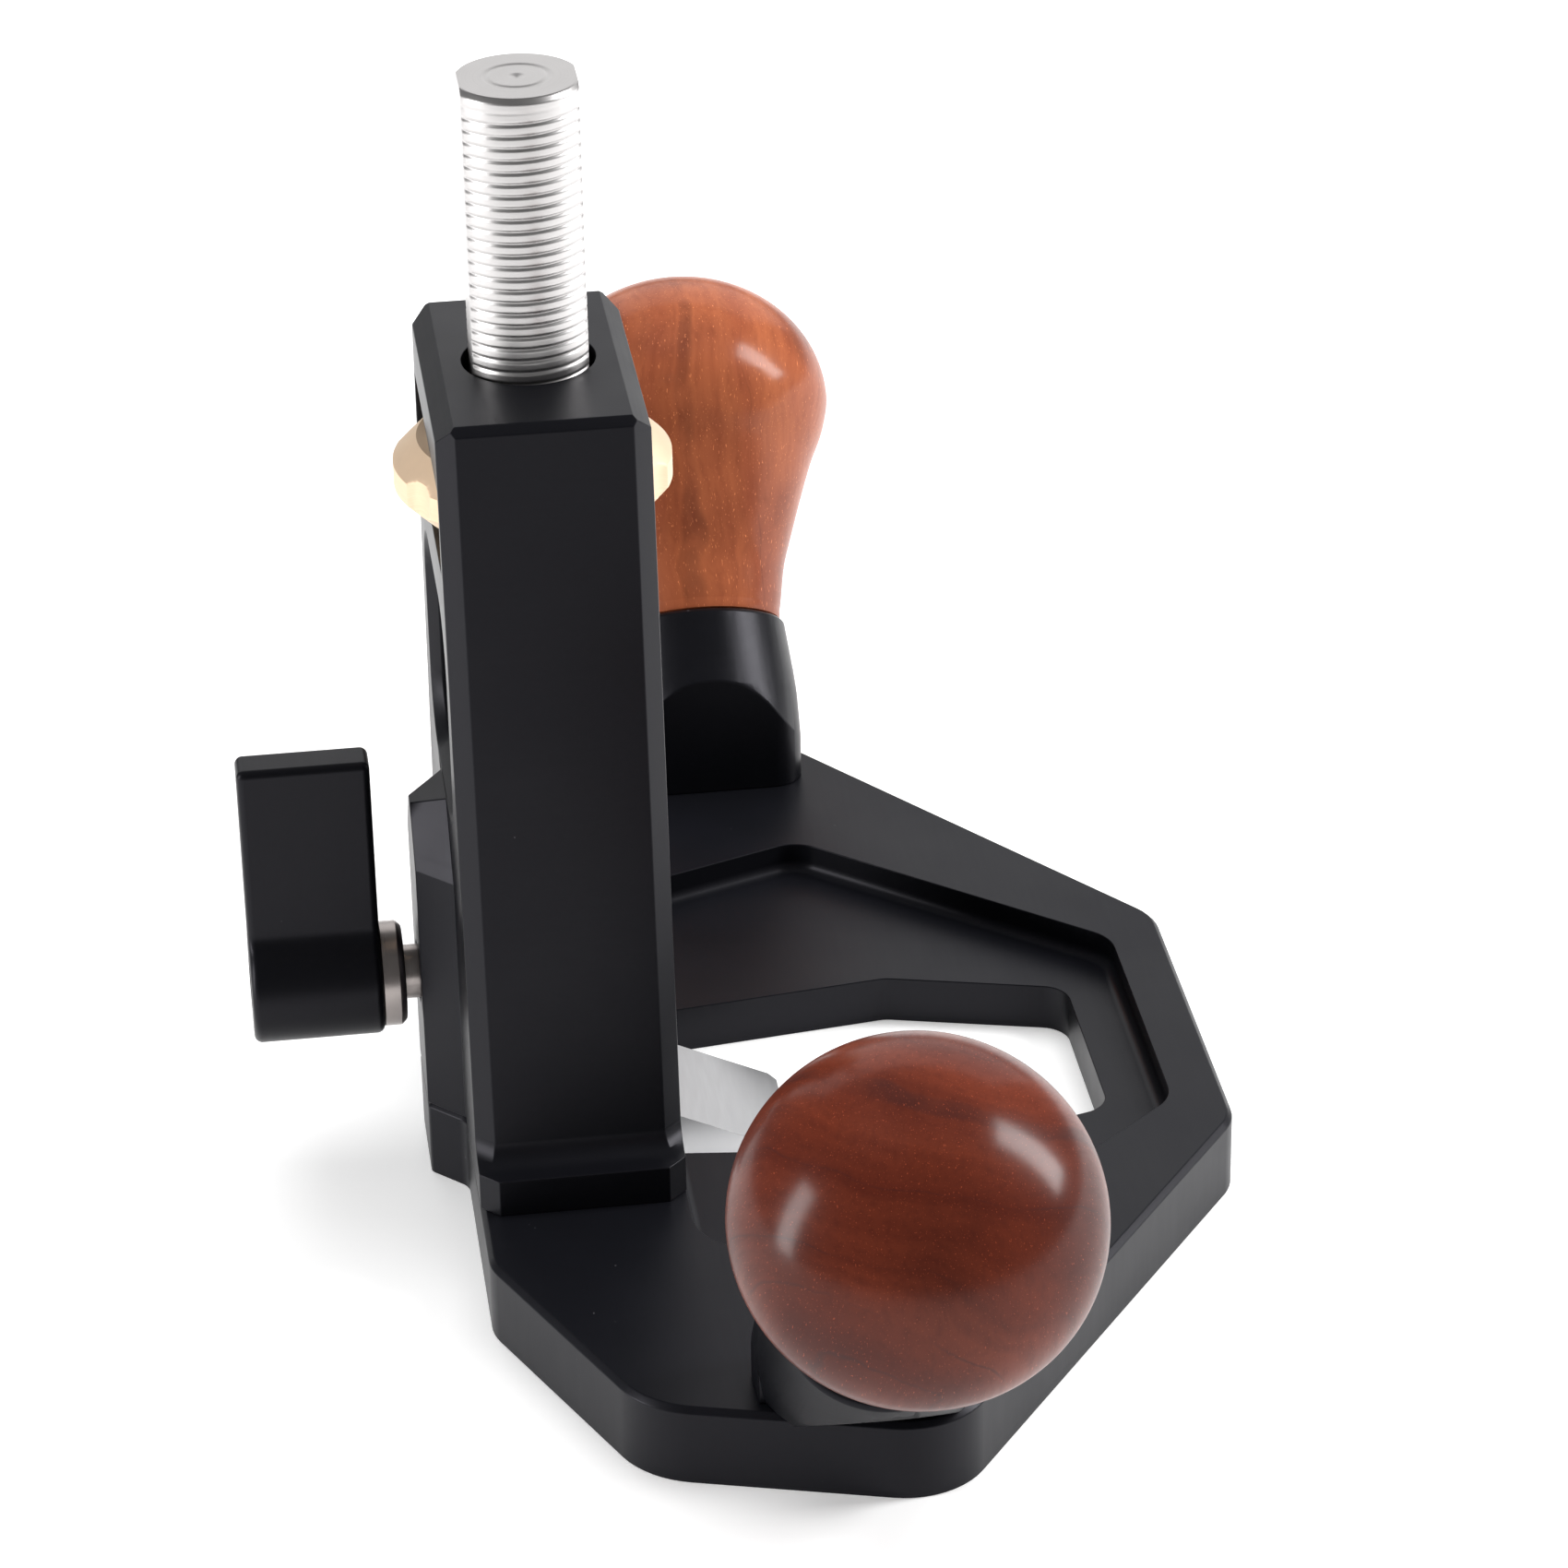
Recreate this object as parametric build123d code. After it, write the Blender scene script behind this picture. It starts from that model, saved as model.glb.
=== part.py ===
from build123d import *
import os
from math import cos, radians, sin, tan

# Hand router plane. Millimetres, +Z up, the sole lies on z = 0.
# Shapes are drawn about the post's axis and moved at the end, so that the
# origin is the middle of the whole tool's footprint, on the sole.

# Base plate: corner places on the right half, and the corner radii
BASE_THICK = 10.5
BACK_Y = -12.85
FRONT_Y = 83.7
BASE_CORNERS = [(45.0, BACK_Y, 8.0), (77.7, 2.3, 12.0), (88.0, 37.4, 10.5), (26.1, FRONT_Y, 8.0)]
BASE_EDGE_BREAK = 0.7
POCKET_FLOOR = 6.5
POCKET_CORNERS = [(44.3, 12.85, 8.0), (53.7, 38.5, 5.0), (20.6, 76.6, 6.0)]
POCKET_FLOOR_RADIUS = 1.5
MOUTH_CORNERS = [(12.0, -9.0, 3.0), (16.9, 10.0, 3.0), (21.5, 46.0, 4.0), (15.2, 69.5, 4.0)]

# Tower: half sizes along X taper towards the top
TOWER_HALF_Y = -BACK_Y
TOWER_TOP = 110.3
TOWER_HALF_TOP = 19.7
TOWER_HALF_FOOT = 30.5
TOWER_TOP_BREAK = 1.0
PLINTH_HALF = 34.7
PLINTH_TOP = 15.5
PLINTH_FILLET = 3.2
TOWER_CHAMFER = 2.3
WINDOW_HALF = 15.5
WINDOW_LOW = 54.5
WINDOW_HIGH = 82.0
WINDOW_RADIUS = 7.0
WINDOW_CHAMFER = 1.4
SLOT_HALF = 17.6
SLOT_LOW = 90.6
SLOT_HIGH = 101.6
FOOT_RECESS_HALF = 10.6
FOOT_RECESS_TOP = 15.9

# Lock pad raised on the back face, (half width, z) at its root and its crest
RIDGE_OUTER_Y = BACK_Y - 4.5
RIDGE_ROOT = [(11.0, 44.5), (4.0, 53.0)]
RIDGE_CREST = [(6.5, 44.5), (1.0, 51.2)]
APRON_CORNERS = [(RIDGE_CREST[0][0], RIDGE_OUTER_Y, 1.2), (RIDGE_ROOT[0][0], BACK_Y, 3.0)]

# Post and depth nut
POST_RADIUS = 8.0
POST_FLAT = 7.0
POST_LOW = 9.2
POST_TOP = 146.3
POST_END_BREAK = 0.4
THREAD_PITCH = 1.5
THREAD_DEPTH = 0.55
THREAD_LOW = 48.0
THREAD_TURNS = 64
THREAD_CREST = 0.2
RUNNING_GAP = 0.06
SLIP_GAP = 0.02
CLEARANCE_RADIUS = 8.12
NUT_RADIUS = 17.0
NUT_LOW = 91.6
NUT_HIGH = 100.6
NUT_BEVEL = 3.0
NUT_HOLLOWS = 6
NUT_HOLLOW_RADIUS = 4.8
NUT_HOLLOW_DEPTH = 0.8
WASHER_RADIUS = 12.5
WASHER_THICK = 0.9

# Cutter
CUTTER_HALF = 9.5
CUTTER_HEEL = -8.0
CUTTER_EDGE = 29.5
CUTTER_TOP = POST_LOW
BEVEL_ANGLE = 25.0
CUTTER_RELIEF = 0.5
CUTTER_LAND = 0.15
CUTTER_TIP_BREAK = 1.0
KEY_RADIUS = 1.5
KEY_X = 5.2
KEY_REACH = 4.0

# Screws
M5_RADIUS = 2.5
M5_CLEARANCE = 2.75
M5_HEAD_RADIUS = 5.0
M5_HEAD_HIGH = 2.6
HEX_WIDTH = 3.0
HEAD_SINK = 0.3
TOWER_SCREW_X = 25.5
TOWER_SCREW_Y = 6.5
TOWER_SCREW_TOP = 24.0
DOWEL_X = 31.0
DOWEL_RADIUS = 1.5
DOWEL_LOW = 6.0
DOWEL_TOP = 14.5

# Handles lean outwards from the axis point where they meet the base
HANDLE_X = 72.5
HANDLE_Y = 28.8
HANDLE_TILT = 40.0
HANDLE_TURN = 2.0
BOSS_RADIUS = 13.5
BOSS_TOP_RADIUS = 12.3
BOSS_TAPER_START = 11.5
BOSS_LENGTH = 22.7
BOSS_BREAK = 0.5
BOSS_FLAT_X = 69.8
BOSS_SIDE_HALF = 13.3
BOSS_CORNER = 4.3
BOSS_FOOT_HALF = 13.2
BOSS_FOOT_X = 79.5
BOSS_SKIRT_X = 84.6
BOSS_SKIRT_TILT = 56.0
BOSS_SCREW_X = 76.5
BOSS_SCREW_Y = 8.0
BOSS_SCREW_TOP = 20.0
KNOB_RADIUS = 21.0
KNOB_CROWN = 18.6
KNOB_MID = 55.2
KNOB_SHOULDER = [(18.19, 64.5), (10.5, 71.31)]
KNOB_NECK = [(12.0, 25.0), (13.05, 31.0), (14.6, 36.0), (16.25, 41.0), (18.1, 46.1)]
KNOB_FOOT_RADIUS = 11.8
STUD_RADIUS = 4.0
STUD_LOW = 6.0
STUD_HIGH = 40.0
INSERT_RADIUS = 6.0
INSERT_HIGH = 42.7

# Lock: a screw along Y whose brass tip presses on the post's flat
LOCK_Z = 26.3
LOCK_TIP_GAP = 0.3
TIP_RADIUS = 4.0
TIP_LENGTH = 3.0
COLLAR_INNER = -19.2
COLLAR_OUTER = -22.1
COLLAR_RADIUS = 6.7
COLLAR_BREAK = 0.7
LEVER_END = -38.7
HUB_RADIUS = 7.5
PADDLE_THICK = 5.6
PADDLE_TOP = 58.0
LEVER_JOIN_RADIUS = 3.0
LEVER_ROUND = 1.0
EDGE_MATCH = 0.001
STUD_END = -33.0
NECK_RADIUS = 3.45
NECK_REACH = 0.6
CAP_RADIUS = 3.5
CAP_LENGTH = 4.0
M4_RADIUS = 2.0
M4_END = -28.0

ROW_SHIFT_Y = -(FRONT_Y + LEVER_END) / 2


def both_sides(half):
    """Corner list of a symmetric outline, from the corners of its right half."""
    return half + [(-x, y, radius) for x, y, radius in reversed(half)]


def rounded_face(corners):
    """Flat face with a rounded corner at each (x, y, radius)."""
    face = Polygon(*[(x, y) for x, y, radius in corners], align=None)
    for x, y, radius in corners:
        corner = face.vertices().sort_by_distance((x, y, 0))[0]
        face = fillet(corner, radius)
    return face


def slab(corners, low, high):
    """Plate with the given outline between two heights."""
    return Pos(0, 0, low) * extrude(rounded_face(corners), high - low)


def upright(radius, low, high, x=0.0, y=0.0):
    """Upright round bar between two heights."""
    return Pos(x, y, (low + high) / 2) * Cylinder(radius, high - low)


def along_y(radius, start, end, z):
    """Round bar along Y between two places."""
    return Pos(0, (start + end) / 2, z) * Rot(90, 0, 0) * Cylinder(radius, abs(end - start))


def block(x_half, y_low, y_high, z_low, z_high):
    """Box that is symmetric about x = 0."""
    middle = Pos(0, (y_low + y_high) / 2, (z_low + z_high) / 2)
    return middle * Box(2 * x_half, y_high - y_low, z_high - z_low)


def four_ways(x, y):
    """The four mirror places of one point."""
    return [(sx * x, sy * y) for sx in (1, -1) for sy in (1, -1)]


def tower_screw_places():
    return four_ways(TOWER_SCREW_X, TOWER_SCREW_Y)


def boss_screw_places():
    return [(x, HANDLE_Y + y) for x, y in four_ways(BOSS_SCREW_X, BOSS_SCREW_Y)]


def countersink(x, y, z_head):
    """Space of a countersunk head whose flat side is at z_head, facing down."""
    cone = Cone(M5_HEAD_RADIUS + RUNNING_GAP, M5_RADIUS, M5_HEAD_HIGH)
    mouth = upright(M5_HEAD_RADIUS + RUNNING_GAP, z_head - 1.0, z_head, x, y)
    return Pos(x, y, z_head + M5_HEAD_HIGH / 2) * cone + mouth


def flat_head_screw(x, y, z_head, z_top):
    """Countersunk socket screw pointing up, its head's flat side at z_head."""
    head = Cone(M5_HEAD_RADIUS, M5_RADIUS, M5_HEAD_HIGH)
    screw = Pos(x, y, z_head + M5_HEAD_HIGH / 2) * head + upright(M5_RADIUS, z_head, z_top, x, y)
    socket = extrude(RegularPolygon(HEX_WIDTH / 2, 6, major_radius=False), M5_HEAD_HIGH - 0.4)
    return screw - Pos(x, y, z_head) * socket


def base_plate():
    plate = slab(both_sides(APRON_CORNERS + BASE_CORNERS), 0, BASE_THICK)
    plate = chamfer(plate.faces().sort_by(Axis.Z)[-1].edges(), BASE_EDGE_BREAK)
    pocket = slab(both_sides(POCKET_CORNERS), POCKET_FLOOR, BASE_THICK + 1)
    pocket = fillet(pocket.faces().sort_by(Axis.Z)[0].edges(), POCKET_FLOOR_RADIUS)
    plate -= pocket
    plate -= slab(both_sides(MOUTH_CORNERS), -1, BASE_THICK + 1)
    for x, y in tower_screw_places() + boss_screw_places():
        plate -= upright(M5_CLEARANCE, -1, BASE_THICK + 1, x, y)
        plate -= countersink(x, y, HEAD_SINK)
    for x in (DOWEL_X, -DOWEL_X):
        plate -= upright(DOWEL_RADIUS + SLIP_GAP, DOWEL_LOW, BASE_THICK + 1, x)
    return plate


def tower_shell():
    """Tapered tower with bevelled rims, blended into its low plinth."""
    half = [(TOWER_HALF_FOOT, PLINTH_TOP), (TOWER_HALF_TOP, TOWER_TOP)]
    outline = Polygon(*(half + [(-x, z) for x, z in reversed(half)]), align=None)
    shell = extrude(Plane.XZ * outline, TOWER_HALF_Y, both=True)
    side_faces = shell.faces().filter_by(Axis.Y)
    rims = [edge for face in side_faces for edge in face.edges() if edge.center().Z > PLINTH_TOP + 0.1]
    shell = chamfer(rims, TOWER_CHAMFER)
    top = shell.faces().sort_by(Axis.Z)[-1]
    shell = chamfer(top.edges().filter_by(Axis.Y), TOWER_TOP_BREAK)
    plinth = block(PLINTH_HALF, -TOWER_HALF_Y, TOWER_HALF_Y, BASE_THICK, PLINTH_TOP)
    shell += chamfer(plinth.edges().filter_by(Axis.Z), TOWER_CHAMFER)
    joins = [
        edge
        for edge in shell.edges().filter_by_position(Axis.Z, PLINTH_TOP - 0.1, PLINTH_TOP + 0.1)
        if abs(edge.center().X) < TOWER_HALF_FOOT + 0.1 and abs(edge.center().Y) < TOWER_HALF_Y - 0.1
    ]
    return fillet(joins, PLINTH_FILLET)


def ridge_face(half):
    """Outline of the lock pad, as (x, z), from the corners of its right half."""
    right = [(half[0][0], BASE_THICK)] + half
    return Polygon(*right, *[(-x, z) for x, z in reversed(right)], align=None)


def lock_ridge():
    """Long pad with sloped sides and top corners on the tower's back face."""
    root = Pos(0, BACK_Y, 0) * (Plane.XZ * ridge_face(RIDGE_ROOT))
    crest = Pos(0, RIDGE_OUTER_Y, 0) * (Plane.XZ * ridge_face(RIDGE_CREST))
    return loft([root, crest], ruled=True)


def window():
    """Lower window of the tower with its bevelled rims."""
    height = WINDOW_HIGH - WINDOW_LOW
    outline = fillet(Rectangle(2 * WINDOW_HALF, height).vertices(), WINDOW_RADIUS)
    tunnel = extrude(Plane.XZ * outline, TOWER_HALF_Y + 1, both=True)
    rim = extrude(Plane.XZ * outline, WINDOW_CHAMFER + 0.01, taper=-45)
    front = Pos(0, TOWER_HALF_Y - WINDOW_CHAMFER, 0) * mirror(rim, Plane.XZ)
    back = Pos(0, -(TOWER_HALF_Y - WINDOW_CHAMFER), 0) * rim
    return Pos(0, 0, (WINDOW_LOW + WINDOW_HIGH) / 2) * (tunnel + front + back)


def tower_frame():
    frame = tower_shell() + lock_ridge()
    frame -= window()
    frame -= block(SLOT_HALF, -TOWER_HALF_Y - 1, TOWER_HALF_Y + 1, SLOT_LOW, SLOT_HIGH)
    frame -= upright(CLEARANCE_RADIUS, WINDOW_HIGH - 1, TOWER_TOP + 1)
    frame -= upright(POST_RADIUS + RUNNING_GAP, BASE_THICK - 1, WINDOW_LOW + 1)
    frame -= block(FOOT_RECESS_HALF, -9.5, TOWER_HALF_Y + 1, BASE_THICK - 1, FOOT_RECESS_TOP)
    frame -= along_y(TIP_RADIUS + RUNNING_GAP, -20.0, LOCK_TIP_GAP - POST_FLAT, LOCK_Z)
    for x, y in tower_screw_places():
        frame -= upright(M5_RADIUS, BASE_THICK - 1, TOWER_SCREW_TOP + 1, x, y)
    for x in (DOWEL_X, -DOWEL_X):
        frame -= upright(DOWEL_RADIUS, BASE_THICK - 1, DOWEL_TOP, x)
    return frame


def tower_screws():
    screws = [flat_head_screw(x, y, HEAD_SINK, TOWER_SCREW_TOP) for x, y in tower_screw_places()]
    return Compound(children=screws)


def tower_dowels():
    pins = [upright(DOWEL_RADIUS, DOWEL_LOW, DOWEL_TOP, x) for x in (DOWEL_X, -DOWEL_X)]
    return Compound(children=pins)


def handle_plane():
    """Frame of the right handle: its z runs up along the leaning axis."""
    lean, turn = radians(HANDLE_TILT), radians(HANDLE_TURN)
    return Plane(
        origin=(HANDLE_X, HANDLE_Y, BASE_THICK),
        x_dir=(cos(lean) * cos(turn), cos(lean) * sin(turn), -sin(lean)),
        z_dir=(sin(lean) * cos(turn), sin(lean) * sin(turn), cos(lean)),
    )


def handle_bar(radius, low, high):
    """Round bar on the right handle's axis."""
    return handle_plane() * Pos(0, 0, (low + high) / 2) * Cylinder(radius, high - low)


def boss_taper():
    """Upper part of the leaning bar, a little narrower at its top."""
    middle = Pos(0, 0, (BOSS_TAPER_START + BOSS_LENGTH) / 2)
    return handle_plane() * middle * Cone(BOSS_RADIUS, BOSS_TOP_RADIUS, BOSS_LENGTH - BOSS_TAPER_START)


def boss_foot():
    """Wedge that fills the space below the leaning bar, with upright sides."""
    rise = (BOSS_FOOT_X - HANDLE_X) / tan(radians(HANDLE_TILT))
    low, high = BASE_THICK, BASE_THICK + rise
    side = Polygon((HANDLE_X, low), (BOSS_FOOT_X, low), (BOSS_FOOT_X, high), align=None)
    return Pos(0, HANDLE_Y, 0) * extrude(Plane.XZ * side, BOSS_FOOT_HALF, both=True)


def right_handle_boss():
    """Tapered leaning bar on a wedge, with a flat and two rounded corners towards the post."""
    boss = handle_bar(BOSS_RADIUS, -2 * BOSS_RADIUS, BOSS_TAPER_START) + boss_taper()
    boss = chamfer(boss.edges().sort_by(Axis.Z)[-1], BOSS_BREAK) + boss_foot()
    size = 4 * BOSS_LENGTH
    near, far = HANDLE_Y - BOSS_SIDE_HALF, HANDLE_Y + BOSS_SIDE_HALF
    sides = [
        (BOSS_FLAT_X, near, BOSS_CORNER),
        (BOSS_FLAT_X + size, near, BOSS_CORNER),
        (BOSS_FLAT_X + size, far, BOSS_CORNER),
        (BOSS_FLAT_X, far, BOSS_CORNER),
    ]
    boss &= slab(sides, BASE_THICK, BASE_THICK + size)
    skirt = Pos(BOSS_SKIRT_X, HANDLE_Y, BASE_THICK) * Rot(0, BOSS_SKIRT_TILT, 0)
    boss -= skirt * Pos(size / 2, 0, 0) * Box(size, size, size)
    boss -= handle_bar(STUD_RADIUS, STUD_LOW, BOSS_LENGTH + 1)
    for x, y in boss_screw_places():
        boss -= upright(M5_RADIUS, BASE_THICK - 1, BOSS_SCREW_TOP, x, y)
    return boss


def right_knob():
    """Turned bulb: a slightly flattened ball on a waisted neck, bored for its insert."""
    neck = Spline(
        (KNOB_FOOT_RADIUS, BOSS_LENGTH),
        *KNOB_NECK,
        (KNOB_RADIUS, KNOB_MID),
        tangents=[(-0.3, 1), (0, 1)],
    )
    top = (0, KNOB_MID + KNOB_CROWN)
    crown = Spline((KNOB_RADIUS, KNOB_MID), *KNOB_SHOULDER, top, tangents=[(0, 1), (-1, 0)])
    rest = Polyline(top, (0, BOSS_LENGTH), (KNOB_FOOT_RADIUS, BOSS_LENGTH))
    profile = make_face(Curve() + [neck, crown, rest])
    knob = handle_plane() * revolve(Plane.XZ * profile, Axis.Z)
    return knob - handle_bar(INSERT_RADIUS, BOSS_LENGTH - 1, INSERT_HIGH)


def right_knob_insert():
    sleeve = handle_bar(INSERT_RADIUS, BOSS_LENGTH, INSERT_HIGH)
    return sleeve - handle_bar(STUD_RADIUS, BOSS_LENGTH - 1, STUD_HIGH)


def right_knob_stud():
    return handle_bar(STUD_RADIUS, STUD_LOW, STUD_HIGH)


def boss_screws():
    screws = [flat_head_screw(x, y, HEAD_SINK, BOSS_SCREW_TOP) for x, y in boss_screw_places()]
    return Compound(children=screws)


def to_left(shape):
    """The same piece on the other handle."""
    return mirror(shape, Plane.YZ)


def threaded_post():
    """Round post with thread grooves and a long flat on its front and back."""
    root = POST_RADIUS - THREAD_DEPTH
    points = [(0, POST_LOW), (POST_RADIUS, POST_LOW), (POST_RADIUS, THREAD_LOW)]
    for turn in range(THREAD_TURNS):
        z = THREAD_LOW + turn * THREAD_PITCH
        points.append((root, z + THREAD_PITCH / 2))
        points.append((POST_RADIUS, z + THREAD_PITCH - THREAD_CREST / 2))
        points.append((POST_RADIUS, z + THREAD_PITCH + THREAD_CREST / 2))
    points.append((POST_RADIUS, POST_TOP - POST_END_BREAK))
    points.append((POST_RADIUS - POST_END_BREAK, POST_TOP))
    points.append((0, POST_TOP))
    post = revolve(Plane.XZ * Polygon(*points, align=None), Axis.Z)
    post &= block(POST_RADIUS + 1, -POST_FLAT, POST_FLAT, POST_LOW, POST_TOP)
    post -= upright(M5_RADIUS, POST_LOW - 1, POST_LOW + 12)
    return post - cutter_keys()


def depth_nut():
    """Finger wheel with bevelled faces and small hollows around its rim."""
    wheel = upright(NUT_RADIUS, NUT_LOW, NUT_HIGH)
    wheel = chamfer(wheel.edges().filter_by(GeomType.CIRCLE), NUT_BEVEL)
    reach = NUT_RADIUS + NUT_HOLLOW_RADIUS - NUT_HOLLOW_DEPTH
    for place in PolarLocations(reach, NUT_HOLLOWS):
        wheel -= place * upright(NUT_HOLLOW_RADIUS, NUT_LOW - 1, NUT_HIGH + 1)
    return wheel - upright(POST_RADIUS + RUNNING_GAP, NUT_LOW - 1, NUT_HIGH + 1)


def thrust_washer(low):
    ring = upright(WASHER_RADIUS, low, low + WASHER_THICK)
    return ring - upright(CLEARANCE_RADIUS, low - 1, low + WASHER_THICK + 1)


def cutter():
    """Broad foot, bevelled on top down to an edge level with the sole."""
    run = (CUTTER_TOP - CUTTER_LAND) / tan(radians(BEVEL_ANGLE))
    side = [
        (CUTTER_HEEL, CUTTER_RELIEF),
        (CUTTER_EDGE, 0),
        (CUTTER_EDGE, CUTTER_LAND),
        (CUTTER_EDGE - run, CUTTER_TOP),
        (CUTTER_HEEL, CUTTER_TOP),
    ]
    foot = extrude(Plane.YZ * Polygon(*side, align=None), CUTTER_HALF, both=True)
    corners = foot.edges().filter_by(Axis.Z).group_by(Axis.Y)[-1]
    foot = chamfer(corners, CUTTER_TIP_BREAK)
    foot -= upright(M5_RADIUS, -1, CUTTER_TOP + 1)
    foot -= countersink(0, 0, CUTTER_RELIEF + HEAD_SINK)
    return foot - cutter_keys()


def cutter_screw():
    return flat_head_screw(0, 0, CUTTER_RELIEF + HEAD_SINK, POST_LOW + 11)


def cutter_keys():
    """Two pins that stop the cutter turning under the post."""
    pins = [upright(KEY_RADIUS, POST_LOW - KEY_REACH, POST_LOW + KEY_REACH, x) for x in (KEY_X, -KEY_X)]
    return Compound(children=pins)


def lock_tip():
    start = -POST_FLAT - LOCK_TIP_GAP
    return along_y(TIP_RADIUS, start, start - TIP_LENGTH, LOCK_Z)


def lock_screw():
    """Lock screw from its lever end to the brass tip."""
    thread = along_y(STUD_RADIUS, RIDGE_OUTER_Y + NECK_REACH, -POST_FLAT - LOCK_TIP_GAP - TIP_LENGTH, LOCK_Z)
    shank = thread + along_y(NECK_RADIUS, COLLAR_INNER, RIDGE_OUTER_Y + NECK_REACH, LOCK_Z)
    shank += along_y(STUD_RADIUS, STUD_END, COLLAR_INNER, LOCK_Z)
    return shank - along_y(M4_RADIUS, STUD_END - 1, M4_END, LOCK_Z)


def lock_collar():
    ring = along_y(COLLAR_RADIUS, COLLAR_OUTER, COLLAR_INNER, LOCK_Z)
    ring = chamfer(ring.edges().filter_by(GeomType.CIRCLE).sort_by(Axis.Y)[-1], COLLAR_BREAK)
    return ring - along_y(STUD_RADIUS, COLLAR_OUTER - 1, COLLAR_INNER + 1, LOCK_Z)


def on_lever_end(edge):
    """True for an edge that lies in one of the lever's two end faces."""
    y = edge.center().Y
    return min(abs(y - LEVER_END), abs(y - COLLAR_OUTER)) < EDGE_MATCH


def lock_lever():
    """Flat paddle that stands on a round hub."""
    paddle = block(PADDLE_THICK / 2, LEVER_END, COLLAR_OUTER, LOCK_Z, PADDLE_TOP)
    lever = paddle + along_y(HUB_RADIUS, LEVER_END, COLLAR_OUTER, LOCK_Z)
    along = lever.edges().filter_by(Axis.Y)
    lever = fillet(along.filter_by_position(Axis.Z, LOCK_Z, LOCK_Z + HUB_RADIUS), LEVER_JOIN_RADIUS)
    ends = [edge for edge in lever.edges() if on_lever_end(edge)]
    lever = fillet(ends + list(lever.edges().filter_by(Axis.Y).group_by(Axis.Z)[-1]), LEVER_ROUND)
    lever -= along_y(STUD_RADIUS, STUD_END, COLLAR_OUTER + 1, LOCK_Z)
    lever -= along_y(M4_RADIUS, LEVER_END - 1, STUD_END + 1, LOCK_Z)
    return lever - along_y(CAP_RADIUS, LEVER_END - 1, LEVER_END + CAP_LENGTH, LOCK_Z)


def lever_screw():
    cap = along_y(CAP_RADIUS, LEVER_END + HEAD_SINK, LEVER_END + CAP_LENGTH, LOCK_Z)
    socket = extrude(RegularPolygon(HEX_WIDTH / 2, 6, major_radius=False), CAP_LENGTH / 2)
    cap -= Pos(0, LEVER_END + HEAD_SINK, LOCK_Z) * Rot(-90, 0, 0) * socket
    return cap + along_y(M4_RADIUS, LEVER_END + CAP_LENGTH, M4_END, LOCK_Z)


PIECES = {
    "base_plate": base_plate,
    "tower_frame": tower_frame,
    "tower_screws": tower_screws,
    "tower_dowels": tower_dowels,
    "right_handle_boss": right_handle_boss,
    "left_handle_boss": lambda: to_left(right_handle_boss()),
    "boss_screws": boss_screws,
    "right_knob": right_knob,
    "left_knob": lambda: to_left(right_knob()),
    "right_knob_insert": right_knob_insert,
    "left_knob_insert": lambda: to_left(right_knob_insert()),
    "right_knob_stud": right_knob_stud,
    "left_knob_stud": lambda: to_left(right_knob_stud()),
    "lower_thrust_washer": lambda: thrust_washer(SLOT_LOW),
    "upper_thrust_washer": lambda: thrust_washer(SLOT_HIGH - WASHER_THICK),
    "depth_nut": depth_nut,
    "threaded_post": threaded_post,
    "cutter": cutter,
    "cutter_screw": cutter_screw,
    "cutter_keys": cutter_keys,
    "lock_tip": lock_tip,
    "lock_screw": lock_screw,
    "lock_collar": lock_collar,
    "lock_lever": lock_lever,
    "lever_screw": lever_screw,
}

os.makedirs("parts", exist_ok=True)
for name, make in PIECES.items():
    export_step(Pos(0, ROW_SHIFT_Y, 0) * make(), "parts/" + name + ".step")
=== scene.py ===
from math import cos, radians, sin, tau

import bmesh
import bpy
from mathutils import Matrix, Vector


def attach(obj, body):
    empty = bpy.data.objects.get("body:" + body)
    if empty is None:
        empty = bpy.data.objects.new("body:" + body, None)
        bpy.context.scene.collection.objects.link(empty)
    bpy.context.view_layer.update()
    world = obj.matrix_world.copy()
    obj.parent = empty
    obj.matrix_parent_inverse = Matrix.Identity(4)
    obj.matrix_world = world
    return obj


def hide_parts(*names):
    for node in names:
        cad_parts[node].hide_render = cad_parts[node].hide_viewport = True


# Lengths below are in millimetres, drawn about the post's axis. place() turns
# such a point into the frame's metres.
MM = 0.001
ROW_SHIFT_Y = -22.5

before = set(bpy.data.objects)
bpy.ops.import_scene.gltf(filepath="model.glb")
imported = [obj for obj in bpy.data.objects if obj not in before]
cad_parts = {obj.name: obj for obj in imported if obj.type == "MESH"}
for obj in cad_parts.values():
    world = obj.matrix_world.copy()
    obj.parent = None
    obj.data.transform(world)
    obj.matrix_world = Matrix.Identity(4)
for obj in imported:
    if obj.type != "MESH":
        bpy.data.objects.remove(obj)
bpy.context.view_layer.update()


def place(x, y, z):
    """A point about the post's axis, in the frame's metres."""
    return Vector((x, y + ROW_SHIFT_Y, z)) * MM


# Node trees

def join(tree, socket, value):
    """Links another socket to this one, or sets its value."""
    if isinstance(value, bpy.types.NodeSocket):
        tree.links.new(value, socket)
    else:
        socket.default_value = value


def add(tree, kind, inputs=None, **settings):
    """Adds a node, sets it up and joins its inputs, by name or by number."""
    node = tree.nodes.new(kind)
    for name, value in settings.items():
        setattr(node, name, value)
    for key, value in (inputs or {}).items():
        join(tree, node.inputs[key], value)
    return node


def calc(tree, operation, *values, clamp=False):
    """One sum on numbers."""
    node = add(tree, "ShaderNodeMath", operation=operation, use_clamp=clamp)
    for socket, value in zip(node.inputs, values):
        join(tree, socket, value)
    return node.outputs[0]


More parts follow.
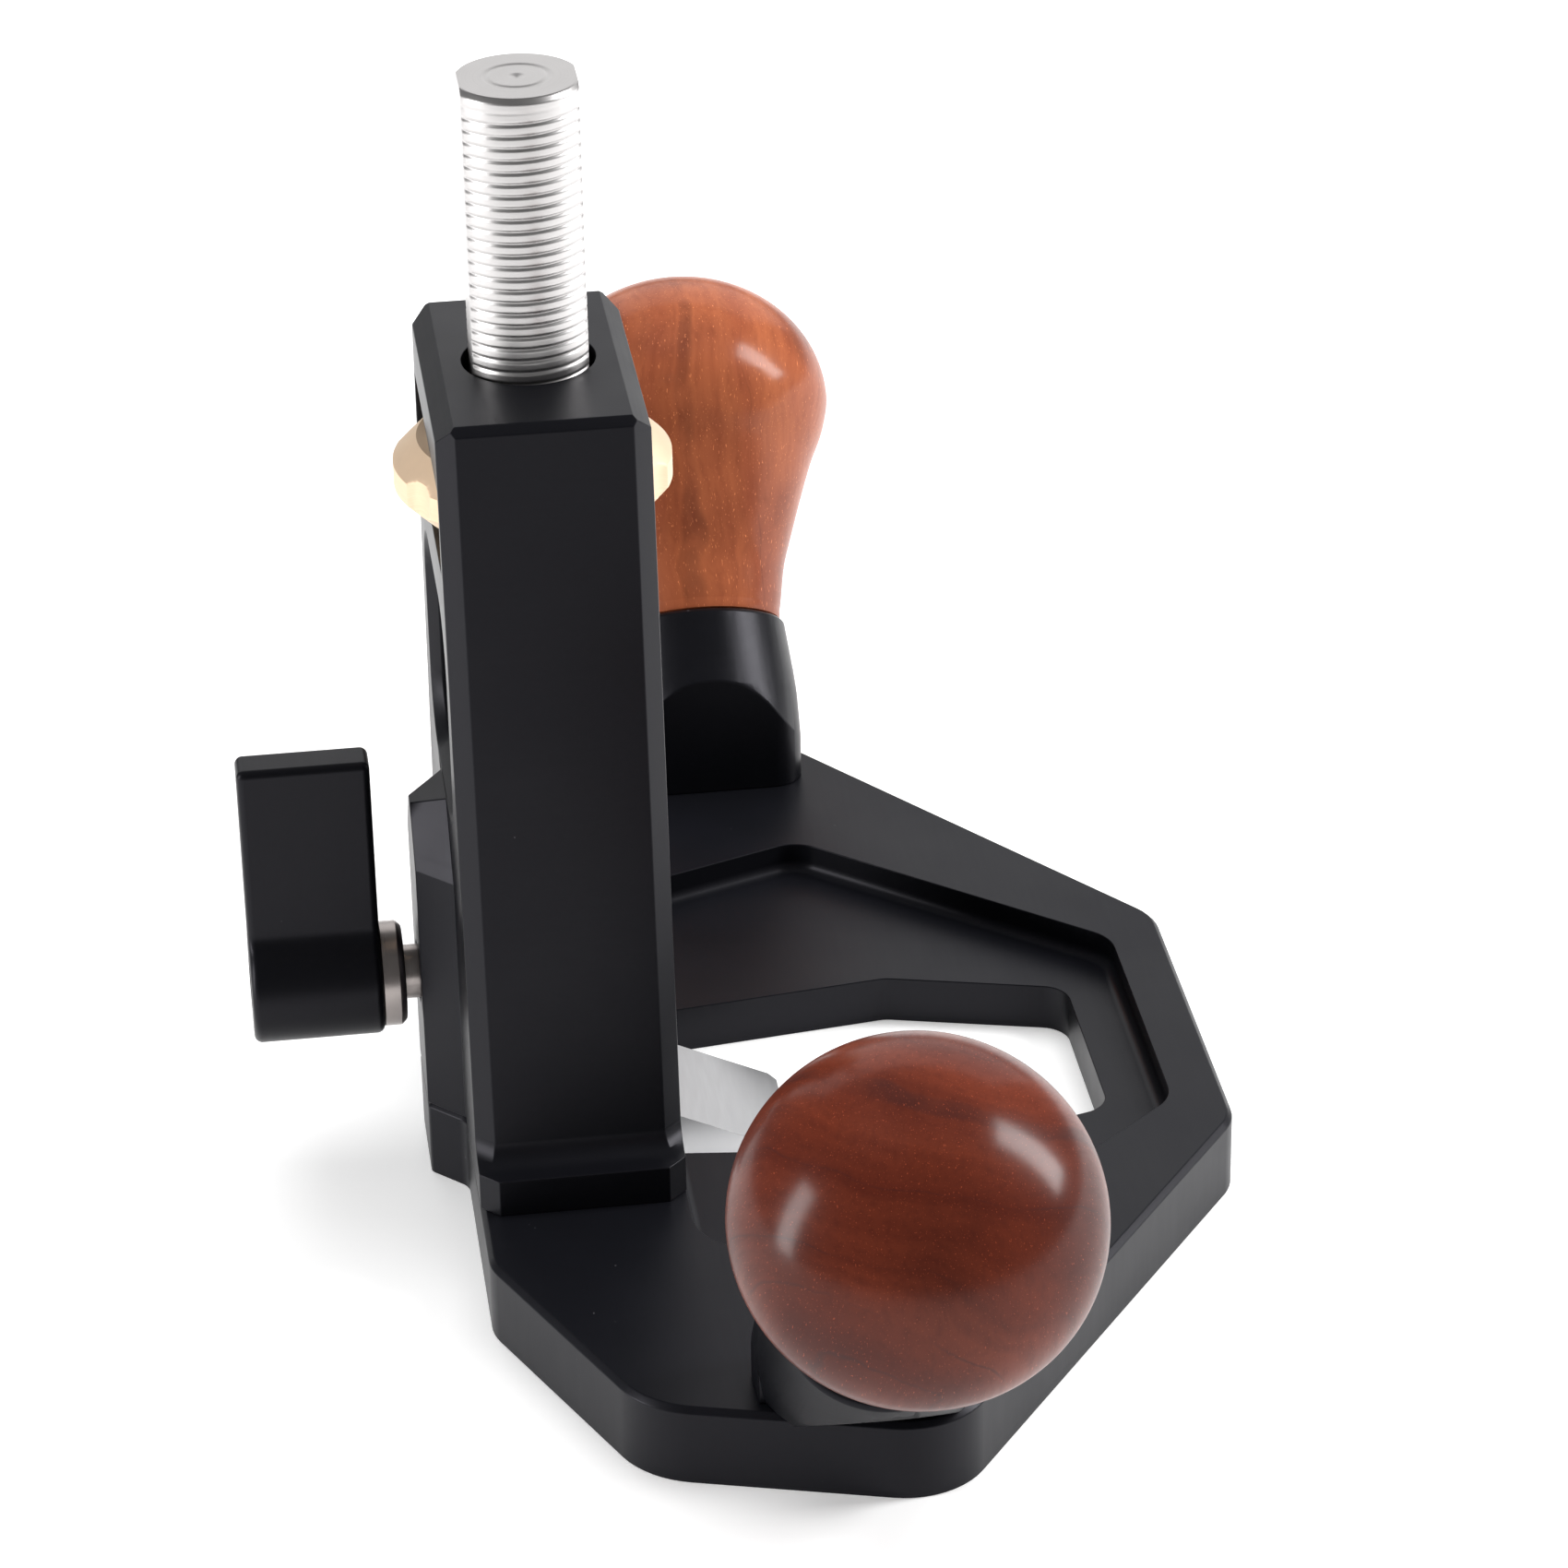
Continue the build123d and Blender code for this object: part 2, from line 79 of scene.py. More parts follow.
def vector_calc(tree, operation, *values):
    """One sum on vectors."""
    node = add(tree, "ShaderNodeVectorMath", operation=operation)
    for socket, value in zip(node.inputs, values):
        join(tree, socket, value)
    return node.outputs["Value" if operation in ("LENGTH", "DISTANCE", "DOT_PRODUCT") else "Vector"]


def remap(tree, value, low, high, new_low=0.0, new_high=1.0, smooth=False):
    """Stretches a range of values onto another, held at both ends."""
    kind = "SMOOTHSTEP" if smooth else "LINEAR"
    sockets = {"Value": value, "From Min": low, "From Max": high, "To Min": new_low, "To Max": new_high}
    return add(tree, "ShaderNodeMapRange", sockets, interpolation_type=kind).outputs["Result"]


def mix_colour(tree, share, first, second, blend="MIX"):
    """Mixes two colours; six and seven are the colour inputs of a mix node."""
    node = add(tree, "ShaderNodeMix", {0: share, 6: first, 7: second}, data_type="RGBA", blend_type=blend)
    return node.outputs[2]


def grain(tree, coords, scale, detail=2.0, roughness=0.5, distortion=0.0):
    """Noise from 0 to 1."""
    sockets = {"Vector": coords, "Scale": scale, "Detail": detail, "Roughness": roughness, "Distortion": distortion}
    return add(tree, "ShaderNodeTexNoise", sockets).outputs["Fac"]


def vector_noise(tree, coords, scale, detail=3.0):
    """Noise with a part of its own along each axis, from 0 to 1."""
    sockets = {"Vector": coords, "Scale": scale, "Detail": detail}
    return add(tree, "ShaderNodeTexNoise", sockets).outputs["Color"]


def stretched(tree, coords, scale):
    """Coordinates scaled by a different amount along each axis."""
    return vector_calc(tree, "MULTIPLY", coords, scale)


def raised(tree, height, distance, strength=1.0, normal=None):
    """Small relief from a height between 0 and 1; distance is in metres."""
    sockets = {"Height": height, "Distance": distance, "Strength": strength}
    if normal is not None:
        sockets["Normal"] = normal
    return add(tree, "ShaderNodeBump", sockets).outputs["Normal"]


def colour(red, green, blue):
    return (red, green, blue, 1.0)


def new_material(name, **constants):
    """Material with its tree, its surface shader and the object's coordinates."""
    material = bpy.data.materials.new(name)
    material.use_nodes = True
    tree = material.node_tree
    shader = tree.nodes["Principled BSDF"]
    for key, value in constants.items():
        shader.inputs[key.replace("_", " ")].default_value = value
    coords = add(tree, "ShaderNodeTexCoord").outputs["Object"]
    return material, tree, shader, coords


# Finishes

def anodised_black(name, tone, hairlines):
    """Satin black anodised aluminium with faint tool lines, smudges and dust."""
    material, tree, shader, coords = new_material(name, IOR=1.285, Metallic=0.0)
    shader.inputs["Specular Tint"].default_value = colour(0.92, 0.90, 1.0)
    smudge = grain(tree, coords, 45.0, 4.0, 0.6)
    lines = grain(tree, stretched(tree, coords, hairlines), 1.0, 2.0)
    speckle = grain(tree, coords, 5200.0, 1.0)
    strayed = vector_calc(tree, "ADD", coords, stretched(tree, vector_noise(tree, coords, 150.0), (0.006, 0.006, 0.006)))
    cells = add(tree, "ShaderNodeTexVoronoi", {"Vector": strayed, "Scale": 420.0}).outputs["Distance"]
    rare = remap(tree, grain(tree, coords, 160.0, 2.0), 0.62, 0.68)
    dust = calc(tree, "MULTIPLY", remap(tree, cells, 0.03, 0.07, 1.0, 0.0), rare)
    dark = mix_colour(tree, smudge, colour(*(tone * part for part in (0.80, 0.84, 1.02))), colour(tone, tone * 1.03, tone * 1.45))
    painted = mix_colour(tree, calc(tree, "MULTIPLY", dust, 0.18), dark, colour(0.35, 0.34, 0.36))
    join(tree, shader.inputs["Base Color"], painted)
    rough = calc(tree, "ADD", remap(tree, smudge, 0.3, 0.7, 0.30, 0.38), calc(tree, "MULTIPLY", lines, 0.05))
    join(tree, shader.inputs["Roughness"], rough)
    fine = raised(tree, speckle, 0.000006, 0.5)
    join(tree, shader.inputs["Normal"], raised(tree, lines, 0.000004, 0.4, fine))
    return material


def bright_steel(name, tone, roughness, lines_scale, relief=0.000003):
    """Turned or ground steel: fine lines along one way and a slight mottle."""
    material, tree, shader, coords = new_material(name, Metallic=1.0)
    lines = grain(tree, stretched(tree, coords, lines_scale), 1.0, 3.0, 0.6)
    mottle = grain(tree, coords, 140.0, 3.0)
    light = tuple(value * 1.08 for value in tone)
    shade = mix_colour(tree, calc(tree, "MULTIPLY", lines, mottle), colour(*tone), colour(*light))
    join(tree, shader.inputs["Base Color"], shade)
    rough = calc(tree, "ADD", remap(tree, lines, 0.2, 0.8, roughness * 0.8, roughness * 1.25), calc(tree, "MULTIPLY", mottle, 0.05))
    join(tree, shader.inputs["Roughness"], rough)
    join(tree, shader.inputs["Normal"], raised(tree, lines, relief))
    return material


def turned_metal(name, tone, roughness, centre, axis, uneven=0.06, pitch=0.00022):
    """Metal turned on a lathe: rings about an axis through the centre."""
    material, tree, shader, coords = new_material(name, Metallic=1.0)
    arm = vector_calc(tree, "SUBTRACT", coords, tuple(centre))
    across = vector_calc(tree, "MULTIPLY", arm, tuple(1.0 - abs(part) for part in axis))
    radius = vector_calc(tree, "LENGTH", across)
    along = vector_calc(tree, "DOT_PRODUCT", arm, axis)
    path = calc(tree, "ADD", radius, along)
    line_place = add(tree, "ShaderNodeCombineXYZ", {"X": calc(tree, "DIVIDE", path, pitch)}).outputs[0]
    lines = grain(tree, line_place, 1.0, 2.0, 0.6)
    mottle = grain(tree, coords, 170.0, 4.0, 0.6)
    deep = tuple(value * (1.0 - uneven) for value in tone)
    join(tree, shader.inputs["Base Color"], mix_colour(tree, remap(tree, mottle, 0.35, 0.7), colour(*tone), colour(*deep)))
    rough = calc(tree, "ADD", remap(tree, lines, 0.25, 0.75, roughness * 0.85, roughness * 1.2), calc(tree, "MULTIPLY", mottle, uneven * 0.5))
    join(tree, shader.inputs["Roughness"], rough)
    join(tree, shader.inputs["Normal"], raised(tree, lines, 0.000003, 0.4))
    return material


def polished_wood(name, centre, turn, pith, pale, middle, deep, line_share):
    """Varnished red-brown wood: growth rings about a pith beside the knob."""
    material, tree, shader, coords = new_material(name, IOR=1.12, Coat_Weight=0.36, Coat_Roughness=0.19)
    local = add(
        tree,
        "ShaderNodeMapping",
        {"Vector": vector_calc(tree, "SUBTRACT", coords, tuple(centre)), "Rotation": turn},
    ).outputs[0]
    waver = vector_calc(tree, "SUBTRACT", vector_noise(tree, local, 38.0), (0.5, 0.5, 0.5))
    bent = vector_calc(tree, "ADD", local, stretched(tree, waver, (0.012, 0.012, 0.004)))
    from_pith = vector_calc(tree, "MULTIPLY", vector_calc(tree, "SUBTRACT", bent, pith), (1.0, 1.0, 0.12))
    ring = vector_calc(tree, "LENGTH", from_pith)
    ring_place = add(tree, "ShaderNodeCombineXYZ", {"X": ring}).outputs[0]
    broad = grain(tree, ring_place, 150.0, 2.0, 0.55)
    narrow = grain(tree, ring_place, 520.0, 3.0, 0.6)
    veins = calc(tree, "ABSOLUTE", calc(tree, "SUBTRACT", grain(tree, ring_place, 105.0, 0.0), 0.5))
    vein = remap(tree, veins, 0.0, 0.011, 1.0, 0.0, smooth=True)
    broken = remap(tree, grain(tree, local, 95.0, 3.0), 0.36, 0.62)
    streaks = grain(tree, stretched(tree, bent, (900.0, 900.0, 70.0)), 1.0, 3.0, 0.65)
    blotch = grain(tree, local, 42.0, 3.0, 0.55)
    base = mix_colour(tree, remap(tree, broad, 0.3, 0.7, smooth=True), colour(*pale), colour(*middle))
    base = mix_colour(tree, remap(tree, blotch, 0.42, 0.75, 0.0, 0.75, smooth=True), base, colour(*deep))
    base = mix_colour(tree, remap(tree, narrow, 0.35, 0.75, 0.0, 0.30), base, colour(*deep))
    base = mix_colour(tree, remap(tree, streaks, 0.45, 0.8, 0.0, 0.38), base, colour(*deep))
    dark_line = calc(tree, "MULTIPLY", calc(tree, "MULTIPLY", vein, broken), line_share)
    base = mix_colour(tree, dark_line, base, colour(0.028, 0.012, 0.012))
    pores = grain(tree, stretched(tree, local, (5200.0, 5200.0, 900.0)), 1.0, 1.0)
    fleck = remap(tree, pores, 0.67, 0.76, 0.0, 0.5)
    base = mix_colour(tree, fleck, base, colour(*(min(1.0, part * 2.6) for part in pale)))
    join(tree, shader.inputs["Base Color"], base)
    join(tree, shader.inputs["Roughness"], remap(tree, streaks, 0.2, 0.8, 0.36, 0.46))
    soft = raised(tree, streaks, 0.00002, 0.35)
    join(tree, shader.inputs["Normal"], raised(tree, pores, 0.000012, 0.5, soft))
    join(tree, shader.inputs["Coat Normal"], raised(tree, streaks, 0.000012, 0.25))
    return material


HANDLE_TILT = radians(40.0)
HANDLE_TURN = radians(2.0)
HANDLE_Y = 28.8
HANDLE_X = 72.5
BASE_TOP = 10.5
KNOB_MID = 55.2
KNOB_RADIUS = 21.0
KNOB_CROWN = 18.6


def handle_axis(side):
    """Direction of a leaning handle: side is 1 on the right and -1 on the left."""
    out = sin(HANDLE_TILT)
    return Vector((side * out * cos(HANDLE_TURN), out * sin(HANDLE_TURN), cos(HANDLE_TILT)))


def knob_centre(side):
    """Middle of a knob's ball."""
    return place(side * HANDLE_X, HANDLE_Y, BASE_TOP) + handle_axis(side) * KNOB_MID * MM


def make_finishes():
    """Every finish of the tool, under a short name."""
    across = (60.0, 60.0, 2600.0)
    post_axis = place(0, 0, 0)
    lock_axis = place(0, 0, 26.3)
    upright = (0.0, 0.0, 1.0)
    lengthwise = (0.0, 1.0, 0.0)
    return {
        "base": anodised_black("black_anodised_base", 0.0062, (90.0, 1500.0, 90.0)),
        "tower": anodised_black("black_anodised_tower", 0.0052, across),
        "boss": anodised_black("black_anodised_boss", 0.0050, across),
        "lever": anodised_black("black_anodised_lever", 0.0045, (60.0, 1900.0, 60.0)),
        "post": turned_metal("stainless_post", (0.575, 0.56, 0.555), 0.34, post_axis, upright, 0.03),
        "lock": turned_metal("stainless_lock", (0.40, 0.36, 0.345), 0.28, lock_axis, lengthwise),
        "washer": turned_metal("washer_steel", (0.56, 0.56, 0.57), 0.3, post_axis, upright),
        "wheel": turned_metal("brass_wheel", (0.90, 0.715, 0.53), 0.68, post_axis, upright, 0.05),
        "brass": turned_metal("brass_turned", (0.78, 0.56, 0.28), 0.32, post_axis, upright),
        "blade": bright_steel("ground_blade", (0.575, 0.575, 0.585), 0.36, (180.0, 3800.0, 1800.0)),
        "fixing": bright_steel("fixing_steel", (0.50, 0.51, 0.53), 0.3, (900.0, 900.0, 900.0)),
        "wood_right": polished_wood(
            "polished_wood_right",
            knob_centre(1),
            (0.0, -HANDLE_TILT, 0.0),
            (-0.052, 0.018, 0.0),
            (0.165, 0.031, 0.0130),
            (0.098, 0.0165, 0.0076),
            (0.045, 0.0078, 0.0048),
            0.45,
        ),
        "wood_left": polished_wood(
            "polished_wood_left",
            knob_centre(-1),
            (0.0, HANDLE_TILT, 0.0),
            (0.016, -0.030, 0.0),
            (0.43, 0.125, 0.050),
            (0.31, 0.080, 0.034),
            (0.15, 0.032, 0.016),
            0.3,
        ),
    }


# Pieces

def show(name, mesh, material, body, slot, *nodes):
    """Puts a finished mesh in the scene in place of the CAD nodes it stands for."""
    mesh.materials.clear()
    mesh.materials.append(material)
    piece = bpy.data.objects.new(name, mesh)
    bpy.context.scene.collection.objects.link(piece)
    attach(piece, body)
    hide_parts(*nodes)
    return piece


def baked(piece):
    """The mesh of a piece with its modifiers applied; the piece itself goes."""
    bpy.context.view_layer.update()
    depsgraph = bpy.context.evaluated_depsgraph_get()
    evaluated = piece.evaluated_get(depsgraph)
    mesh = bpy.data.meshes.new_from_object(evaluated, preserve_all_data_layers=True, depsgraph=depsgraph)
    bpy.data.objects.remove(piece)
    return mesh


def soft_edged(node, width, angle=28.0):
    """Mesh of a CAD piece whose sharp edges are rounded off a little."""
    shape = bmesh.new()
    shape.from_mesh(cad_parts[node].data)
    bmesh.ops.remove_doubles(shape, verts=shape.verts, dist=0.000002)
    bmesh.ops.dissolve_limit(shape, angle_limit=radians(0.4), verts=shape.verts, edges=shape.edges)
    mesh = bpy.data.meshes.new(node + "_soft")
    for face in shape.faces:
        face.smooth = True
    shape.to_mesh(mesh)
    shape.free()
    piece = bpy.data.objects.new(node + "_soft", mesh)
    bpy.context.scene.collection.objects.link(piece)
    bevel = piece.modifiers.new("rounding", "BEVEL")
    bevel.width = width * MM
    bevel.segments = 2
    bevel.limit_method = "ANGLE"
    bevel.angle_limit = radians(angle)
    bevel.use_clamp_overlap = False
    flat = piece.modifiers.new("flat_faces", "WEIGHTED_NORMAL")
    flat.mode = "FACE_AREA"
    flat.weight = 100
    flat.keep_sharp = True
    return baked(piece)


def smooth_between(points, count):
    """Points on a smooth line through the given (radius, height) pairs."""
    places = [Vector(point) for point in points]
    gaps = [(second - first).length for first, second in zip(places, places[1:])]
    slopes = [(second - first) / gap for first, second, gap in zip(places, places[1:], gaps)]
    leans = [slopes[0]]
    for i in range(len(slopes) - 1):
        leans.append((slopes[i] * gaps[i + 1] + slopes[i + 1] * gaps[i]) / (gaps[i] + gaps[i + 1]))
    leans.append(slopes[-1])
    result = []
    for i, gap in enumerate(gaps):
        for step in range(count):
            t = step / count
            result.append(
                places[i] * (2 * t**3 - 3 * t**2 + 1)
                + leans[i] * gap * (t**3 - 2 * t**2 + t)
                + places[i + 1] * (3 * t**2 - 2 * t**3)
                + leans[i + 1] * gap * (t**3 - t**2)
            )
    return result + [places[-1]]


def lathe(name, profile, origin, axis, sides):
    """Closed turned mesh from (radius, height) pairs, running from the foot's middle to the top's."""
    shape = bmesh.new()
    turn = Vector((0, 0, 1)).rotation_difference(axis).to_matrix()
    rings = []
    for radius, height in profile:
        count = 1 if radius < 1e-6 else sides
        ring = []
        for k in range(count):
            angle = tau * k / sides
            local = Vector((radius * cos(angle), radius * sin(angle), height)) * MM
            ring.append(shape.verts.new(origin + turn @ local))
        rings.append(ring)
    for low, high in zip(rings, rings[1:]):
        for k in range(sides):
            corners = [low[k % len(low)], low[(k + 1) % len(low)], high[(k + 1) % len(high)], high[k % len(high)]]
            shape.faces.new(list(dict.fromkeys(corners)))
    bmesh.ops.recalc_face_normals(shape, faces=shape.faces)
    for face in shape.faces:
        face.smooth = True
    mesh = bpy.data.meshes.new(name)
    shape.to_mesh(mesh)
    shape.free()
    mesh.set_sharp_from_angle(angle=radians(40.0))
    return mesh


def knob_mesh(side):
    """Turned bulb on a waisted neck, with a small round at its foot."""
    foot = [(6.2, 22.75), (11.3, 22.75), (11.65, 22.95), (11.8, 23.4)]
    neck = [(11.84, 24.2), (12.0, 25.0), (13.05, 31.0), (14.6, 36.0), (16.25, 41.0), (18.1, 46.1), (20.0, 50.5)]
    ball = []
    for degrees in range(0, 90, 5):
        turn = radians(degrees)
        ball.append((KNOB_RADIUS * cos(turn), KNOB_MID + KNOB_CROWN * sin(turn)))
    profile = [(0.0, 22.75)] + foot + smooth_between(neck + ball, 6) + [(0.0, KNOB_MID + KNOB_CROWN)]
    return lathe("knob", profile, place(side * HANDLE_X, HANDLE_Y, BASE_TOP), handle_axis(side), 160)


# Pieces that follow a rule, made with geometry nodes

def new_rule(name, inputs):
    """Geometry tree with named number inputs; returns it with its input sockets."""
    tree = bpy.data.node_groups.new(name, "GeometryNodeTree")
    for label, kind in inputs:
        tree.interface.new_socket(label, in_out="INPUT", socket_type=kind)
    tree.interface.new_socket("Geometry", in_out="OUTPUT", socket_type="NodeSocketGeometry")
    return tree, add(tree, "NodeGroupInput").outputs


def unit_grid(tree, rows, columns):
    """Flat grid whose X and Y both run from 0 to 1, with those two as fields."""
    sockets = {"Size X": 1.0, "Size Y": 1.0, "Vertices X": rows, "Vertices Y": columns}
    mesh = add(tree, "GeometryNodeMeshGrid", sockets).outputs["Mesh"]
    parts = add(tree, "ShaderNodeSeparateXYZ", {"Vector": add(tree, "GeometryNodeInputPosition").outputs[0]}).outputs
    return mesh, calc(tree, "ADD", parts["X"], 0.5), calc(tree, "ADD", parts["Y"], 0.5)


def moved(tree, mesh, x, y, z):
    """The mesh with its points put at x, y, z."""
    target = add(tree, "ShaderNodeCombineXYZ", {"X": x, "Y": y, "Z": z}).outputs[0]
    return add(tree, "GeometryNodeSetPosition", {"Geometry": mesh, "Position": target}).outputs[0]


def finish_rule(tree, parts, material):
    """Joins the parts, closes their seams, and sets their finish."""
    joined = add(tree, "GeometryNodeJoinGeometry")
    for part in reversed(parts):
        tree.links.new(part, joined.inputs[0])
    closed = add(tree, "GeometryNodeMergeByDistance", {"Geometry": joined.outputs[0], "Distance": 0.000004}).outputs[0]
    real = add(tree, "GeometryNodeRealizeInstances", {"Geometry": closed}).outputs[0]
    done = add(tree, "GeometryNodeSetMaterial", {"Geometry": real, "Material": material}).outputs[0]
    tree.links.new(done, add(tree, "NodeGroupOutput").inputs[0])


def run_rule(tree, values, sharp_angle):
    """Runs a geometry tree with the given inputs and returns its mesh, in place."""
    piece = bpy.data.objects.new(tree.name, bpy.data.meshes.new(tree.name))
    bpy.context.scene.collection.objects.link(piece)
    modifier = piece.modifiers.new("rule", "NODES")
    modifier.node_group = tree
    for item in tree.interface.items_tree:
        if item.in_out == "INPUT" and item.name in values:
            modifier[item.identifier] = values[item.name]
    mesh = baked(piece)
    shape = bmesh.new()
    shape.from_mesh(mesh)
    bmesh.ops.recalc_face_normals(shape, faces=shape.faces)
    for face in shape.faces:
        face.smooth = True
    shape.to_mesh(mesh)
    shape.free()
    mesh.transform(Matrix.Translation(place(0, 0, 0)))
    mesh.set_sharp_from_angle(angle=radians(sharp_angle))
    return mesh


def flat_sided(tree, radius, turn, flat):
    """X and Y of a round outline whose front and back are cut flat."""
    angle = calc(tree, "MULTIPLY", turn, tau)
    x = calc(tree, "MULTIPLY", radius, calc(tree, "COSINE", angle))
    y = calc(tree, "MULTIPLY", radius, calc(tree, "SINE", angle))
    y = calc(tree, "MAXIMUM", calc(tree, "MINIMUM", y, flat), calc(tree, "MULTIPLY", flat, -1.0))
    return x, y


def post_rule(material):
    """Post with one helical groove, two long flats and a turned end."""
    number = "NodeSocketFloat"
    names = ["Radius", "Flat", "Depth", "Pitch", "Low", "High", "Thread Low", "Thread High", "Edge"]
    tree, size = new_rule("threaded_post_rule", [(name, number) for name in names])
    parts = []
    for low, high, rows in (("Low", "Thread Low", 9), ("Thread Low", "High", 721)):
        wall, row, turn = unit_grid(tree, rows, 121)
        z = calc(tree, "ADD", size[low], calc(tree, "MULTIPLY", row, calc(tree, "SUBTRACT", size[high], size[low])))
        phase = calc(tree, "FRACT", calc(tree, "SUBTRACT", calc(tree, "DIVIDE", z, size["Pitch"]), turn))
        from_root = calc(tree, "MULTIPLY", calc(tree, "ABSOLUTE", calc(tree, "SUBTRACT", phase, 0.5)), 2.0)
        groove = remap(tree, from_root, 0.0, 0.50, 1.0, 0.0, smooth=True)
        begins = remap(tree, z, size["Thread Low"], calc(tree, "ADD", size["Thread Low"], size["Pitch"]))
        ends = remap(tree, z, calc(tree, "SUBTRACT", size["Thread High"], size["Pitch"]), size["Thread High"], 1.0, 0.0)
        cut = calc(tree, "MULTIPLY", calc(tree, "MULTIPLY", groove, calc(tree, "MULTIPLY", begins, ends)), size["Depth"])
        near_top = calc(tree, "SUBTRACT", size["High"], size["Edge"])
        break_in = calc(tree, "MAXIMUM", calc(tree, "SUBTRACT", z, near_top), 0.0)
        radius = calc(tree, "SUBTRACT", calc(tree, "SUBTRACT", size["Radius"], cut), break_in)
        parts.append(moved(tree, wall, *flat_sided(tree, radius, turn, size["Flat"]), z))
    for level, reach in (("Low", size["Radius"]), ("High", calc(tree, "SUBTRACT", size["Radius"], size["Edge"]))):
        cap, share, cap_turn = unit_grid(tree, 45, 121)
        cap_radius = calc(tree, "MULTIPLY", share, reach)
        height = size[level]
        if level == "High":
            dimple = remap(tree, cap_radius, 0.0, 0.0010, 0.00022, 0.0)
            from_ring = calc(tree, "ABSOLUTE", calc(tree, "SUBTRACT", cap_radius, 0.00375))
            tool_mark = remap(tree, from_ring, 0.0, 0.0006, 0.00012, 0.0, smooth=True)
            height = calc(tree, "SUBTRACT", calc(tree, "SUBTRACT", height, dimple), tool_mark)
        parts.append(moved(tree, cap, *flat_sided(tree, cap_radius, cap_turn, size["Flat"]), height))
    finish_rule(tree, parts, material)
    return tree


def wheel_rule(material):
    """Finger wheel: bevelled faces, and hollows cut round its rim."""
    number = "NodeSocketFloat"
    names = ["Radius", "Bore", "Bevel", "Low", "High", "Lobes", "Hollow", "Hollow Depth"]
    tree, size = new_rule("depth_wheel_rule", [(name, number) for name in names])
    lobe = calc(tree, "DIVIDE", tau, size["Lobes"])
    centre = calc(tree, "SUBTRACT", calc(tree, "ADD", size["Radius"], size["Hollow"]), size["Hollow Depth"])
    middle = calc(tree, "MULTIPLY", calc(tree, "ADD", size["Low"], size["High"]), 0.5)
    half = calc(tree, "MULTIPLY", calc(tree, "SUBTRACT", size["High"], size["Low"]), 0.5)
    ring = calc(tree, "SUBTRACT", size["Radius"], size["Bevel"])
    parts = []
    wall, row, turn = unit_grid(tree, 37, 481)
    height = calc(tree, "SUBTRACT", calc(tree, "MULTIPLY", row, 2.0), 1.0)
    offset = calc(tree, "MULTIPLY", height, half)
    rim = calc(tree, "SUBTRACT", half, size["Bevel"])
    slope = calc(tree, "MAXIMUM", calc(tree, "SUBTRACT", calc(tree, "ABSOLUTE", offset), rim), 0.0)
    outline = calc(tree, "SUBTRACT", size["Radius"], slope)
    bands = [(wall, outline, turn, calc(tree, "ADD", middle, offset))]
    for level in ("Low", "High"):
        face, share, face_turn = unit_grid(tree, 21, 481)
        face_radius = calc(tree, "ADD", size["Bore"], calc(tree, "MULTIPLY", share, calc(tree, "SUBTRACT", ring, size["Bore"])))
        bands.append((face, face_radius, face_turn, size[level]))
    bore, bore_row, bore_turn = unit_grid(tree, 12, 481)
    bore_z = calc(tree, "ADD", size["Low"], calc(tree, "MULTIPLY", bore_row, calc(tree, "SUBTRACT", size["High"], size["Low"])))
    bands.append((bore, size["Bore"], bore_turn, bore_z))
    for mesh, radius, around, z in bands:
        angle = calc(tree, "MULTIPLY", around, tau)
        part_turn = calc(tree, "SUBTRACT", calc(tree, "FRACT", calc(tree, "ADD", calc(tree, "DIVIDE", angle, lobe), 0.5)), 0.5)
        from_lobe = calc(tree, "MULTIPLY", part_turn, lobe)
        aside = calc(tree, "MULTIPLY", centre, calc(tree, "SINE", from_lobe))
        inside = calc(tree, "SUBTRACT", calc(tree, "MULTIPLY", size["Hollow"], size["Hollow"]), calc(tree, "MULTIPLY", aside, aside))
        reach = calc(tree, "SQRT", calc(tree, "MAXIMUM", inside, 0.0))
        edge = calc(tree, "SUBTRACT", calc(tree, "MULTIPLY", centre, calc(tree, "COSINE", from_lobe)), reach)
        limit = calc(tree, "ADD", edge, calc(tree, "MULTIPLY", calc(tree, "LESS_THAN", inside, 0.0), 1.0))
        radius = calc(tree, "MINIMUM", radius, limit)
        x = calc(tree, "MULTIPLY", radius, calc(tree, "COSINE", angle))
        y = calc(tree, "MULTIPLY", radius, calc(tree, "SINE", angle))
        parts.append(moved(tree, mesh, x, y, z))
    finish_rule(tree, parts, material)
    return tree


